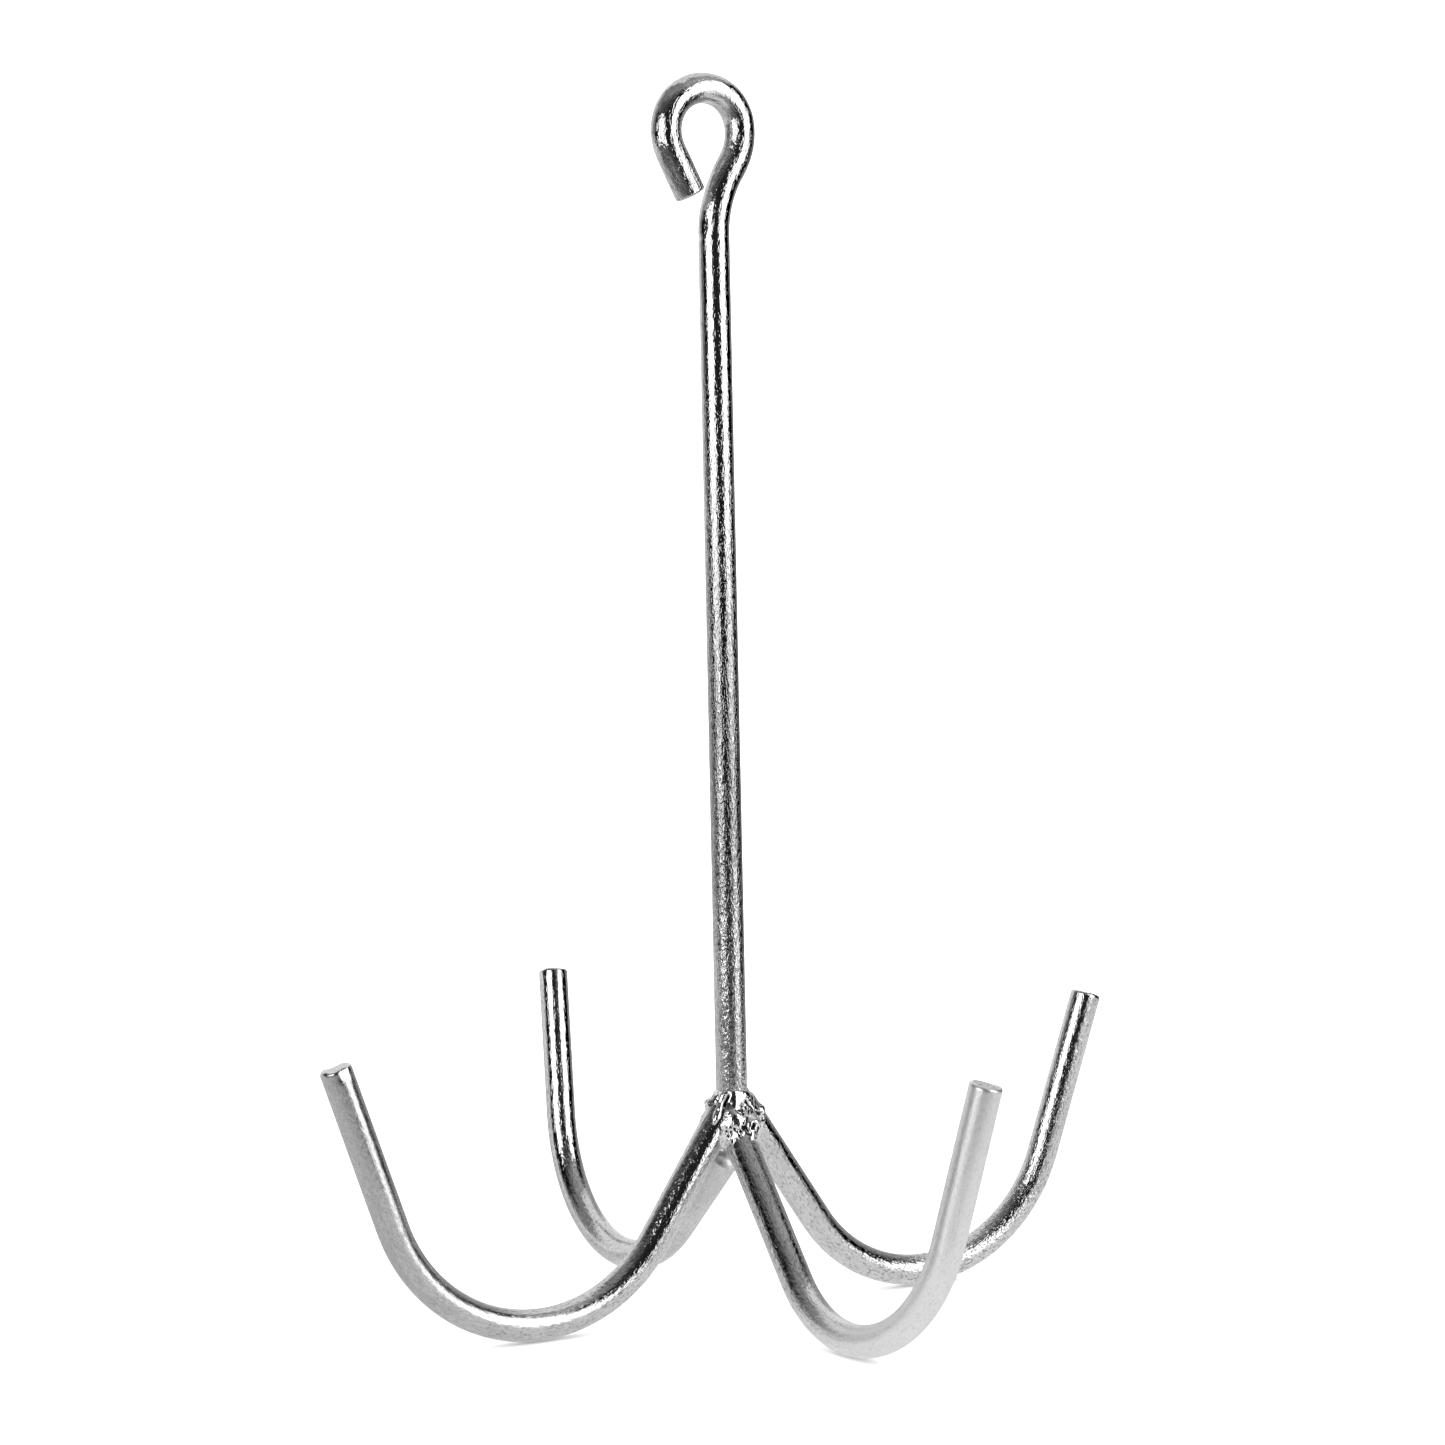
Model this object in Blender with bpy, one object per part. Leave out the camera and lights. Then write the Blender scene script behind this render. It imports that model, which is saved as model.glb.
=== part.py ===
"""Four-prong grapnel hook of round steel bar: a shank bent into an eye, four bent prongs and their welds.

Metres, +Z up along the shank. The hook stands on the undersides of its bends, at z = 0. The eye and the
left and right prongs lie close to the XZ plane, the front and back prongs close to the YZ plane. The left and
right arms meet the shank a little higher than the front and back ones.
"""

import math

import bmesh
import bpy
from mathutils import Matrix, Vector

MM = 0.001

# Bar stock, the same quarter-inch bar for the shank and the prongs
BAR_RADIUS = 3.175 * MM
BAR_SIDES = 24
BEND_STEP_DEG = 6.0
END_ROUNDING = 0.5 * MM
SHARP_EDGE_DEG = 35.0
FIT_GAP = 0.3 * MM

# The origin is the middle of the footprint's box. The prongs differ a little in reach, so the shank's
# axis stands this far from it.
HUB_X = -0.1 * MM
HUB_Y = 0.7 * MM

# Shank, from its foot on the prongs up to the eye
SHANK_FOOT_Z = 42.6 * MM
NECK_Z = 213.4 * MM
# Bends from the neck round to the eye's open end: radius of the centre line and turn in degrees,
# negative away from the cut end and positive back towards the shank
EYE_BENDS = (
    (24.0 * MM, -34.4),  # neck, leaning out
    (12.8 * MM, 38.0),  # side
    (7.6 * MM, 71.0),  # crown
    (8.8 * MM, 133.0),  # shoulder
)
EYE_LEG = 9.6 * MM

# Prongs, each bent by hand, so no two are quite alike. Azimuth round the shank from +X, slope of the arm
# below the horizontal, turn of the bend and sideways lean are in degrees. The hook stands on three of them,
# and the back one clears the ground by its lift.
PRONGS = {
    "prong_right": dict(
        azimuth=-2.0, slope=55.0, arm=34.5 * MM, bend=31.0 * MM, turn=127.5, tail=34.8 * MM, lean=-3.5,
        lift=0.0,
    ),
    "prong_back": dict(
        azimuth=89.0, slope=43.0, arm=28.0 * MM, bend=32.5 * MM, turn=121.0, tail=31.5 * MM, lean=-4.0,
        lift=2.3 * MM,
    ),
    "prong_left": dict(
        azimuth=179.0, slope=55.0, arm=32.7 * MM, bend=31.5 * MM, turn=126.5, tail=33.1 * MM, lean=-2.5,
        lift=0.0,
    ),
    "prong_front": dict(
        azimuth=271.0, slope=44.0, arm=39.0 * MM, bend=28.5 * MM, turn=121.0, tail=30.2 * MM, lean=8.0,
        lift=0.0,
    ),
}
ARM_OVERRUN = 8.0 * MM  # bar past the shank's axis, which the mitre takes off

# Weld beads, one in each valley between two prongs
WELDS = {
    "weld_back_right": ("prong_right", "prong_back"),
    "weld_back_left": ("prong_back", "prong_left"),
    "weld_front_left": ("prong_left", "prong_front"),
    "weld_front_right": ("prong_front", "prong_right"),
}
WELD_HALF_LENGTH = 5.6 * MM
WELD_HALF_WIDTH = 3.3 * MM
WELD_HALF_DEPTH = 2.6 * MM
WELD_REACH = 4.3 * MM  # bead's centre from the shank's axis
WELD_CENTRE_Z = 38.8 * MM
WELD_TILT_DEG = -8.0

# Cutters reach well past what they cut
WEDGE_REACH = 200.0 * MM
WEDGE_Z = (-10.0 * MM, 100.0 * MM)
CUTTER_LENGTH = 30.0 * MM

BRIGHT_PLATE = dict(colour=(0.72, 0.72, 0.72), roughness=0.22, metallic=1.0)
SATIN_PLATE = dict(colour=(0.66, 0.66, 0.66), roughness=0.38, metallic=1.0)
WELD_METAL = dict(colour=(0.60, 0.60, 0.60), roughness=0.45, metallic=1.0)


def clear_scene():
    for old in list(bpy.data.objects):
        bpy.data.objects.remove(old)


def metal(name, colour, roughness, metallic):
    """A Principled metal."""
    material = bpy.data.materials.new(name)
    material.use_nodes = True
    shader = material.node_tree.nodes["Principled BSDF"]
    shader.inputs["Base Color"].default_value = (*colour, 1.0)
    shader.inputs["Roughness"].default_value = roughness
    shader.inputs["Metallic"].default_value = metallic
    return material


class BarPen:
    """Draws a bar in the XZ plane: its end face is pushed along straights and spun round bends."""

    def __init__(self, start, heading_deg, radius=BAR_RADIUS):
        self.mesh = bmesh.new()
        self.at = Vector(start)
        self.heading = math.radians(heading_deg)
        bmesh.ops.create_circle(self.mesh, cap_ends=True, segments=BAR_SIDES, radius=radius)
        forward = self.forward()
        across = Vector((0.0, 1.0, 0.0))
        facing = Matrix((across.cross(forward), across, forward)).transposed().to_4x4()
        self.mesh.transform(Matrix.Translation(self.at) @ facing)
        self.mesh.faces.ensure_lookup_table()
        self.end = self.mesh.faces[0]

    def forward(self):
        return Vector((math.cos(self.heading), 0.0, math.sin(self.heading)))

    def end_geometry(self):
        return [self.end, *self.end.edges, *self.end.verts]

    def straight(self, length):
        grown = bmesh.ops.extrude_face_region(self.mesh, geom=self.end_geometry())["geom"]
        step = self.forward() * length
        points = [item for item in grown if isinstance(item, bmesh.types.BMVert)]
        bmesh.ops.translate(self.mesh, verts=points, vec=step)
        self.end = next(item for item in grown if isinstance(item, bmesh.types.BMFace))
        self.at += step

    def bend(self, radius, turn_deg):
        """Turns the heading from +X towards +Z, or back where turn_deg is negative."""
        turn = math.radians(turn_deg)
        to_left = Vector((-math.sin(self.heading), 0.0, math.cos(self.heading)))
        centre = self.at + to_left * math.copysign(radius, turn)
        spun = bmesh.ops.spin(
            self.mesh,
            geom=self.end_geometry(),
            cent=centre,
            axis=(0.0, -1.0, 0.0),
            angle=turn,
            steps=max(2, math.ceil(abs(turn_deg) / BEND_STEP_DEG)),
        )["geom_last"]
        self.end = next(item for item in spun if isinstance(item, bmesh.types.BMFace))
        self.heading += turn
        self.at = centre + Matrix.Rotation(-turn, 3, "Y") @ (self.at - centre)

    def round_end(self):
        bmesh.ops.bevel(
            self.mesh,
            geom=list(self.end.edges),
            offset=END_ROUNDING,
            segments=2,
            profile=0.5,
            affect="EDGES",
        )

    def finish(self, name):
        return finish_mesh(self.mesh, name)


def finish_mesh(mesh, name):
    """An object that holds the mesh, faces out and shaded smooth away from its sharp edges."""
    bmesh.ops.recalc_face_normals(mesh, faces=mesh.faces)
    data = bpy.data.meshes.new(name)
    mesh.to_mesh(data)
    mesh.free()
    data.shade_smooth()
    data.set_sharp_from_angle(angle=math.radians(SHARP_EDGE_DEG))
    made = bpy.data.objects.new(name, data)
    bpy.context.scene.collection.objects.link(made)
    return made


def hide_cutter(cutter):
    cutter.hide_render = True
    cutter.display_type = "WIRE"


def boolean(target, cutter, operation):
    modifier = target.modifiers.new(cutter.name, "BOOLEAN")
    modifier.operation = operation
    modifier.object = cutter
    modifier.solver = "EXACT"


def hub_height(prong):
    """Height where the arm's centre line meets the shank's axis. It puts the bend's underside at its lift."""
    slope = math.radians(prong["slope"])
    drop = prong["arm"] * math.sin(slope) + prong["bend"] * (1.0 - math.cos(slope))
    return drop * math.cos(math.radians(prong["lean"])) + BAR_RADIUS + prong["lift"]


def prong_frame(prong):
    """Turns a prong drawn in the XZ plane round the shank and leans it sideways."""
    hub = Matrix.Translation((HUB_X, HUB_Y, hub_height(prong)))
    azimuth = Matrix.Rotation(math.radians(prong["azimuth"]), 4, "Z")
    lean = Matrix.Rotation(math.radians(-prong["lean"]), 4, "X")
    return hub @ azimuth @ lean


def make_prong(name, prong):
    slope = prong["slope"]
    down = math.radians(slope)
    start = Vector((-math.cos(down), 0.0, math.sin(down))) * ARM_OVERRUN
    pen = BarPen(start, -slope)
    pen.straight(ARM_OVERRUN + prong["arm"])
    pen.bend(prong["bend"], slope)
    pen.bend(prong["bend"], prong["turn"] - slope)
    pen.straight(prong["tail"])
    pen.round_end()
    made = pen.finish(name)
    made.matrix_world = prong_frame(prong)
    return made


def mitre_wedge(name, first_deg, last_deg):
    """The space a prong may fill round the hub, between two upright planes."""
    half = math.radians(last_deg - first_deg) / 2.0
    middle = math.radians(first_deg + last_deg) / 2.0
    floor_z, top_z = WEDGE_Z
    apex = Vector((math.cos(middle), math.sin(middle), 0.0)) * (FIT_GAP / 2.0 / math.sin(half))
    apex += Vector((HUB_X, HUB_Y, floor_z))
    corners = [apex]
    for angle in (middle - half, middle + half):
        corners.append(apex + Vector((math.cos(angle), math.sin(angle), 0.0)) * WEDGE_REACH)
    mesh = bmesh.new()
    base = mesh.faces.new([mesh.verts.new(corner) for corner in corners])
    grown = bmesh.ops.extrude_face_region(mesh, geom=[base])["geom"]
    points = [item for item in grown if isinstance(item, bmesh.types.BMVert)]
    bmesh.ops.translate(mesh, verts=points, vec=(0.0, 0.0, top_z - floor_z))
    wedge = finish_mesh(mesh, name)
    hide_cutter(wedge)
    return wedge


def foot_seat():
    """Copes the prongs round the shank, and takes them off level under its foot."""
    mesh = bmesh.new()
    depth = WEDGE_Z[1] - SHANK_FOOT_Z
    bmesh.ops.create_cone(
        mesh,
        cap_ends=True,
        segments=BAR_SIDES,
        radius1=BAR_RADIUS + FIT_GAP,
        radius2=BAR_RADIUS + FIT_GAP,
        depth=depth,
    )
    seat = finish_mesh(mesh, "foot_seat")
    seat.location = (HUB_X, HUB_Y, SHANK_FOOT_Z - FIT_GAP + depth / 2.0)
    hide_cutter(seat)
    return seat


def valley_azimuths():
    """The azimuth midway between each prong and the next, in degrees."""
    azimuths = [prong["azimuth"] for prong in PRONGS.values()]
    following = azimuths[1:] + [azimuths[0] + 360.0]
    return [(this + after) / 2.0 for this, after in zip(azimuths, following)]


def make_prongs(material):
    valleys = valley_azimuths()
    seat = foot_seat()
    for index, (name, prong) in enumerate(PRONGS.items()):
        made = make_prong(name, prong)
        before = valleys[index - 1] - (360.0 if index == 0 else 0.0)
        boolean(made, mitre_wedge(f"{name}_mitre", before, valleys[index]), "INTERSECT")
        boolean(made, seat, "DIFFERENCE")
        made.data.materials.append(material[name])


def make_shank(material):
    pen = BarPen((0.0, 0.0, SHANK_FOOT_Z), 90.0)
    pen.straight(NECK_Z - SHANK_FOOT_Z)
    for radius, turn_deg in EYE_BENDS:
        pen.bend(radius, turn_deg)
    pen.straight(EYE_LEG)
    pen.round_end()
    made = pen.finish("shank_with_eye")
    made.location = (HUB_X, HUB_Y, 0.0)
    made.data.materials.append(material)


def bar_cutter(name, frame, heading_deg, length):
    """A bar drawn with the gap added all round, which cuts a weld bead clear of the real one."""
    back = math.radians(heading_deg)
    start = Vector((math.cos(back), 0.0, math.sin(back))) * -ARM_OVERRUN
    pen = BarPen(start, heading_deg, BAR_RADIUS + FIT_GAP)
    pen.straight(ARM_OVERRUN + length)
    cutter = pen.finish(name)
    cutter.matrix_world = frame
    hide_cutter(cutter)
    return cutter


def make_welds(material):
    arms = {
        name: bar_cutter(f"{name}_clearance", prong_frame(prong), -prong["slope"], CUTTER_LENGTH)
        for name, prong in PRONGS.items()
    }
    shank_frame = Matrix.Translation((HUB_X, HUB_Y, SHANK_FOOT_Z))
    shank = bar_cutter("shank_clearance", shank_frame, 90.0, CUTTER_LENGTH)
    for (name, neighbours), valley in zip(WELDS.items(), valley_azimuths()):
        mesh = bmesh.new()
        bmesh.ops.create_icosphere(mesh, subdivisions=3, radius=1.0)
        size = Matrix.Diagonal((WELD_HALF_DEPTH, WELD_HALF_WIDTH, WELD_HALF_LENGTH, 1.0))
        tilt = Matrix.Rotation(math.radians(WELD_TILT_DEG), 4, "Y")
        mesh.transform(Matrix.Translation((WELD_REACH, 0.0, 0.0)) @ tilt @ size)
        bead = finish_mesh(mesh, name)
        turn = Matrix.Rotation(math.radians(valley), 4, "Z")
        bead.matrix_world = Matrix.Translation((HUB_X, HUB_Y, WELD_CENTRE_Z)) @ turn
        for neighbour in neighbours:
            boolean(bead, arms[neighbour], "DIFFERENCE")
        boolean(bead, shank, "DIFFERENCE")
        bead.data.materials.append(material)


clear_scene()
bright = metal("bright_plate", **BRIGHT_PLATE)
satin = metal("satin_plate", **SATIN_PLATE)
make_shank(bright)
make_prongs({"prong_right": bright, "prong_back": bright, "prong_left": satin, "prong_front": satin})
make_welds(metal("weld_metal", **WELD_METAL))
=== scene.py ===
"""Looks of the four-prong grapnel hook: finely swept bars, drawn and zinc-plated, and lumpy weld beads.

Metres, +Z up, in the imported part's own frame. Each bar and each bead stands for the CAD node of its name.
"""

import math

import bpy
import numpy as np
from mathutils import Matrix, Vector


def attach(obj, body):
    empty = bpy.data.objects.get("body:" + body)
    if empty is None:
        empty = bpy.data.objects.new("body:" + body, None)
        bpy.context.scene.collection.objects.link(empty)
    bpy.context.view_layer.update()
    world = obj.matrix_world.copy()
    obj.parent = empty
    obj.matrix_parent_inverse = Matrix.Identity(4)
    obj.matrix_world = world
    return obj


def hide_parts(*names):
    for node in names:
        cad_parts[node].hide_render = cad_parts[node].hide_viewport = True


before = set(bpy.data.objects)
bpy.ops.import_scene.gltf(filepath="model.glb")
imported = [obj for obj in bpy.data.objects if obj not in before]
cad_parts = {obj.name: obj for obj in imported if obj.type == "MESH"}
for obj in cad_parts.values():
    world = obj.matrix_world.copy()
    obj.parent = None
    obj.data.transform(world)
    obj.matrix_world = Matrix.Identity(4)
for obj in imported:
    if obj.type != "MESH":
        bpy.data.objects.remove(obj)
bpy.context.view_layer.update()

MM = 0.001

# Bars, with the CAD's own dimensions, so that each lies where its node is. Angles are in degrees.
BAR_RADIUS = 3.175 * MM
SCALE_LOSS = 0.035 * MM  # keeps the round sweep inside the CAD's faceted bars
HUB = Vector((-0.1 * MM, 0.7 * MM, 0.0))
SHANK_FOOT_Z = 42.6 * MM
NECK_Z = 213.4 * MM
# radius and turn of each bend from the neck round to the eye's cut end
EYE_BENDS = ((24.0 * MM, -34.4), (12.8 * MM, 38.0), (7.6 * MM, 71.0), (8.8 * MM, 133.0))
EYE_LEG = 9.6 * MM
# azimuth round the hub, slope of the straight arm, bend radius and whole turn, straight tail, sideways lean,
# and how far the bend's underside is off the ground
PRONGS = {
    "prong_right": dict(
        azimuth=-2.0, slope=55.0, arm=34.5 * MM, bend=31.0 * MM, turn=127.5, tail=34.8 * MM, lean=-3.5,
        lift=0.0,
    ),
    "prong_back": dict(
        azimuth=89.0, slope=43.0, arm=28.0 * MM, bend=32.5 * MM, turn=121.0, tail=31.5 * MM, lean=-4.0,
        lift=2.3 * MM,
    ),
    "prong_left": dict(
        azimuth=179.0, slope=55.0, arm=32.7 * MM, bend=31.5 * MM, turn=126.5, tail=33.1 * MM, lean=-2.5,
        lift=0.0,
    ),
    "prong_front": dict(
        azimuth=271.0, slope=44.0, arm=39.0 * MM, bend=28.5 * MM, turn=121.0, tail=30.2 * MM, lean=8.0,
        lift=0.0,
    ),
}

# Sweep
RING_STEP = 0.5 * MM
RING_SIDES = 72
BEND_EASING = 2.5 * MM  # length of bar over which a bend runs into a straight
BEND_SQUASH = 0.07  # how much a tight bend flattens its inner and outer side
FOOT_SINK = 2.0 * MM  # how far the shank's foot goes on down, out of sight in the weld
ARM_INSET = 3.5 * MM  # a prong's hub end from the shank's axis, out of sight in the weld
WEAR_DEPTH, WEAR_LENGTH = 0.010 * MM, 14.0 * MM
RIPPLE_DEPTH, RIPPLE_LENGTH = 0.0022 * MM, 3.2 * MM

# Sheared ends
CAP_ROUNDING = 0.85 * MM  # the most that an edge is rolled over
CAP_ROUNDING_LEAST = 0.35  # the least, as a share of the most
CAP_UNEVEN_LENGTH = 7.0 * MM
CAP_MIDDLE = 0.7  # height of the face's middle, as a share of the rounding
CAP_TEAR_DEPTH, CAP_TEAR_LENGTH = 0.09 * MM, 1.5 * MM
CAP_GRAIN_DEPTH, CAP_GRAIN_LENGTH = 0.02 * MM, 0.5 * MM

# Camera, a little above the shank's middle, between the left and the front prong
VIEW_AZIMUTH_DEG = -30.91
VIEW_DISTANCE = 675.07 * MM  # from the hub's axis, on the level
VIEW_HEIGHT = 138.7 * MM
VIEW_TURN_DEG = 0.025
VIEW_TILT_DEG = -1.812
VIEW_ROLL_DEG = 1.204
VIEW_LENS = 85.0
VIEW_SENSOR = 36.0

# Studio
TENT_RADIUS = 0.85
TENT_CENTRE_Z = 130.0 * MM
TENT_TURNS = 240
TENT_RISES = 120
TABLE_Z = -0.5 * MM
TABLE_RADIUS = 820.0 * MM
FLOOR_RADIUS = 3.0
FLOOR_TONE = 0.92
WORLD_STRENGTH = 2.3


def smoothstep(low, high, value):
    share = np.clip((value - low) / (high - low), 0.0, 1.0)
    return share * share * (3.0 - 2.0 * share)


class Waves:
    """Smooth random relief: a sum of plane waves in random directions, near -1 to 1."""

    def __init__(self, seed, wavelength, count=20):
        rng = np.random.default_rng(seed)
        directions = rng.normal(size=(count, 3))
        directions /= np.linalg.norm(directions, axis=1)[:, None]
        lengths = wavelength * rng.uniform(0.7, 1.4, count)
        self.numbers = directions * (2.0 * math.pi / lengths)[:, None]
        self.phases = rng.uniform(0.0, 2.0 * math.pi, count)

    def __call__(self, points):
        total = np.zeros(points.shape[:-1])
        for number, phase in zip(self.numbers, self.phases):
            total += np.sin(points @ number + phase)
        return total / math.sqrt(len(self.phases))


def new_object(name, points, faces):
    """A smooth-shaded mesh object."""
    data = bpy.data.meshes.new(name)
    data.from_pydata(points.tolist(), [], faces)
    data.validate()
    data.shade_smooth()
    made = bpy.data.objects.new(name, data)
    bpy.context.scene.collection.objects.link(made)
    return made


def store(made, name, values):
    """Keeps a number or a vector for each vertex, for the materials to read."""
    kind = "FLOAT_VECTOR" if values.ndim == 2 else "FLOAT"
    attribute = made.data.attributes.new(name, kind, "POINT")
    key = "vector" if values.ndim == 2 else "value"
    attribute.data.foreach_set(key, values.astype(np.float32).ravel())


# ---------------------------------------------------------------- bars


def trace(start, heading_deg, moves):
    """Even stations along a bent bar's centre line in its XZ plane: run, point, heading and curvature.

    Each move is a length of bar and the angle in degrees that the bar turns over it, from +X towards +Z.
    """
    ends = np.cumsum([0.0] + [length for length, _ in moves])
    turned = np.radians(heading_deg + np.cumsum([0.0] + [turn for _, turn in moves]))
    count = int(round(ends[-1] / RING_STEP))
    run = np.linspace(0.0, ends[-1], count + 1)
    reach = np.linspace(-0.5, 0.5, 9) * BEND_EASING
    eased = run[:, None] + reach[None, :]
    heading = np.interp(eased, ends, turned).mean(axis=1)
    middle = (heading[1:] + heading[:-1]) / 2.0
    steps = np.stack([np.cos(middle), np.sin(middle)], axis=1) * (run[1] - run[0])
    points = np.concatenate([[start], start + np.cumsum(steps, axis=0)])
    return run, points, heading, np.gradient(heading, run)


def bend_move(radius, turn_deg):
    return (radius * math.radians(abs(turn_deg)), turn_deg)


def ring_grid(points_per_ring, rings):
    """Quads that join rings of points, and a face over the first and the last ring."""
    grid = np.arange(points_per_ring * rings).reshape(rings, points_per_ring)
    after = np.roll(grid, -1, axis=1)
    quads = np.stack([grid[:-1], grid[1:], after[1:], after[:-1]], axis=2).reshape(-1, 4)
    return quads.tolist() + [grid[0].tolist(), grid[-1][::-1].tolist()]


def side_inset(space, run, angle, curvature, marks, seed):
    """How far the bar's surface lies inside a true round: wear, ripple, flattened bends and tool marks."""
    wear = Waves(seed, WEAR_LENGTH)(space * np.array([1.0, 1.0, 0.6]))
    ripple = Waves(seed + 1, RIPPLE_LENGTH)(space)
    inset = SCALE_LOSS + WEAR_DEPTH * (1.0 + wear * 0.5) + RIPPLE_DEPTH * (1.0 + ripple * 0.5)
    squash = BEND_SQUASH * BAR_RADIUS**2 * np.abs(curvature)[:, None]
    inset = inset + squash * np.cos(angle)[None, :] ** 2
    for mark in marks:
        inset = inset + mark_depth(mark, run, angle)
    return np.maximum(inset, 0.0)


def cap_rings(radius, angle, length, seed):
    """Rings over a sheared end, in bar space: an unevenly rolled edge, then a torn, slightly dished face."""
    cos, sin = np.cos(angle), np.sin(angle)
    rim = np.stack([radius * cos, radius * sin, np.zeros_like(angle)], axis=1)
    uneven = 0.5 + 0.5 * np.clip(Waves(seed, CAP_UNEVEN_LENGTH)(rim) * 0.8, -1.0, 1.0)
    rolled = CAP_ROUNDING * (CAP_ROUNDING_LEAST + (1.0 - CAP_ROUNDING_LEAST) * uneven)
    base = length - CAP_ROUNDING
    rings = []
    for turn in np.radians(np.linspace(12.0, 90.0, 8)):
        rings.append((radius - rolled * (1.0 - math.cos(turn)), base + rolled * math.sin(turn), 0.0))
    inner = radius - rolled
    for share in np.linspace(0.12, 0.97, 12):
        level = base + rolled + (CAP_ROUNDING * CAP_MIDDLE - rolled) * smoothstep(0.0, 0.9, share)
        rings.append((inner * (1.0 - share), level, min(1.0, share * 4.0)))
    torn = Waves(seed + 1, CAP_TEAR_LENGTH)
    fine = Waves(seed + 2, CAP_GRAIN_LENGTH)
    found = []
    for ring_radius, level, tear in rings:
        ring = np.stack([ring_radius * cos, ring_radius * sin, level], axis=1)
        drop = CAP_TEAR_DEPTH * (1.0 + torn(ring) * 0.6) + CAP_GRAIN_DEPTH * fine(ring)
        ring[:, 2] -= tear * np.maximum(drop, 0.0)
        found.append(ring)
    return found


def sweep(name, stations, finish, marks, seed):
    """A bar swept along its stations, with a worn, uneven surface, tool marks and a sheared far end.

    The finish has rows of run in millimetres, grain, shade and matte.
    """
    run, centre, heading, curvature = stations
    length = run[-1]
    keep = run <= length - CAP_ROUNDING
    run, centre, heading, curvature = run[keep], centre[keep], heading[keep], curvature[keep]
    angle = np.linspace(0.0, 2.0 * math.pi, RING_SIDES, endpoint=False)
    cos, sin = np.cos(angle)[None, :], np.sin(angle)[None, :]

    # bar space: where each point would lie if the bar were straight
    space = np.stack(np.broadcast_arrays(BAR_RADIUS * cos, BAR_RADIUS * sin, run[:, None]), axis=2)
    radius = BAR_RADIUS - side_inset(space, run, angle, curvature, marks, seed)
    space = space * (radius / BAR_RADIUS)[:, :, None] ** np.array([1.0, 1.0, 0.0])
    caps = np.stack(cap_rings(radius[-1], angle, length, seed + 2))

    left = np.stack([-np.sin(heading), np.zeros_like(heading), np.cos(heading)], axis=1)
    ahead = np.array([np.cos(heading[-1]), 0.0, np.sin(heading[-1])])
    across = np.array([0.0, 1.0, 0.0])
    middle = np.stack([centre[:, 0], np.zeros(len(run)), centre[:, 1]], axis=1)
    side = middle[:, None, :] + space[:, :, :1] * left[:, None, :] + space[:, :, 1:2] * across
    end = middle[-1] + caps[:, :, :1] * left[-1] + caps[:, :, 1:2] * across
    end = end + (caps[:, :, 2:] - run[-1]) * ahead

    space = np.concatenate([space, caps]).reshape(-1, 3)
    points = np.concatenate([side, end]).reshape(-1, 3)
    made = new_object(name, points, ring_grid(RING_SIDES, len(points) // RING_SIDES))
    store(made, "bar_space", space)
    knots = np.array(finish)
    for column, key in enumerate(("grain", "shade", "matte"), start=1):
        store(made, key, np.interp(space[:, 2], knots[:, 0] * MM, knots[:, column]))
    return made


def mark_depth(mark, run, angle):
    """How deep a dent or a flat goes at each station and angle."""
    along = (run - mark["at"]) / mark["length"]
    turn = np.angle(np.exp(1j * (angle - math.radians(mark["angle"])))) / math.radians(mark["width"])
    fall = np.exp(-np.abs(along[:, None]) ** mark["edge"]) * np.exp(-(turn[None, :] ** 2))
    return mark["depth"] * fall


def hub_height(prong):
    """Height where the arm's centre line meets the shank's axis."""
    slope = math.radians(prong["slope"])
    drop = prong["arm"] * math.sin(slope) + prong["bend"] * (1.0 - math.cos(slope))
    return drop * math.cos(math.radians(prong["lean"])) + BAR_RADIUS + prong["lift"]


def prong_frame(prong):
    hub = Matrix.Translation(HUB + Vector((0.0, 0.0, hub_height(prong))))
    azimuth = Matrix.Rotation(math.radians(prong["azimuth"]), 4, "Z")
    return hub @ azimuth @ Matrix.Rotation(math.radians(-prong["lean"]), 4, "X")


def make_prong(name, prong, finish, marks, seed):
    down = math.radians(prong["slope"])
    start = np.array([math.cos(down), -math.sin(down)]) * ARM_INSET
    moves = (
        (prong["arm"] - ARM_INSET, 0.0),
        bend_move(prong["bend"], prong["slope"]),
        bend_move(prong["bend"], prong["turn"] - prong["slope"]),
        (prong["tail"], 0.0),
    )
    made = sweep(name, trace(start, -prong["slope"], moves), finish, marks, seed)
    made.data.transform(prong_frame(prong))
    return made


def make_shank(finish, marks, seed):
    start = np.array([0.0, SHANK_FOOT_Z - FOOT_SINK])
    moves = [(NECK_Z - SHANK_FOOT_Z + FOOT_SINK, 0.0)]
    moves += [bend_move(radius, turn) for radius, turn in EYE_BENDS]
    moves.append((EYE_LEG, 0.0))
    made = sweep("shank", trace(start, 90.0, moves), finish, marks, seed)
    made.data.transform(Matrix.Translation(HUB))
    return made


# ---------------------------------------------------------------- welds

# One surface round a point on the hub's axis, in rows of rise and columns of turn, cut into the four beads
WELD_CENTRE_Z = 39.0 * MM
WELD_TURNS = 360  # one column for each degree
WELD_RISES = 180
WELD_SEARCH = (0.5, 9.0, 0.1)  # nearest, farthest and step out from the middle, in millimetres
WELD_COAT = (-0.12 * MM, 0.22 * MM)  # how far the metal lies above the bars at its edge, and well inside
WELD_TOE = 1.5 * MM  # how far in from its edge the coat is whole
BAR_BLEND, LUMP_BLEND, ZONE_BLEND, EDGE_BLEND = 1.4 * MM, 1.2 * MM, 1.6 * MM, 0.6 * MM
EDGE_WOBBLE = 0.25 * MM
STROKE_REACH = 5.5 * MM  # where a stroke's width is measured
LUMP_HEIGHT, RIPPLE_HEIGHT = 0.30 * MM, 0.13 * MM
CALM_SPOT, CALM_WIDTH = ((243.0, 30.0),), 10.0  # the smooth patch at the foot of the shank
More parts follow.
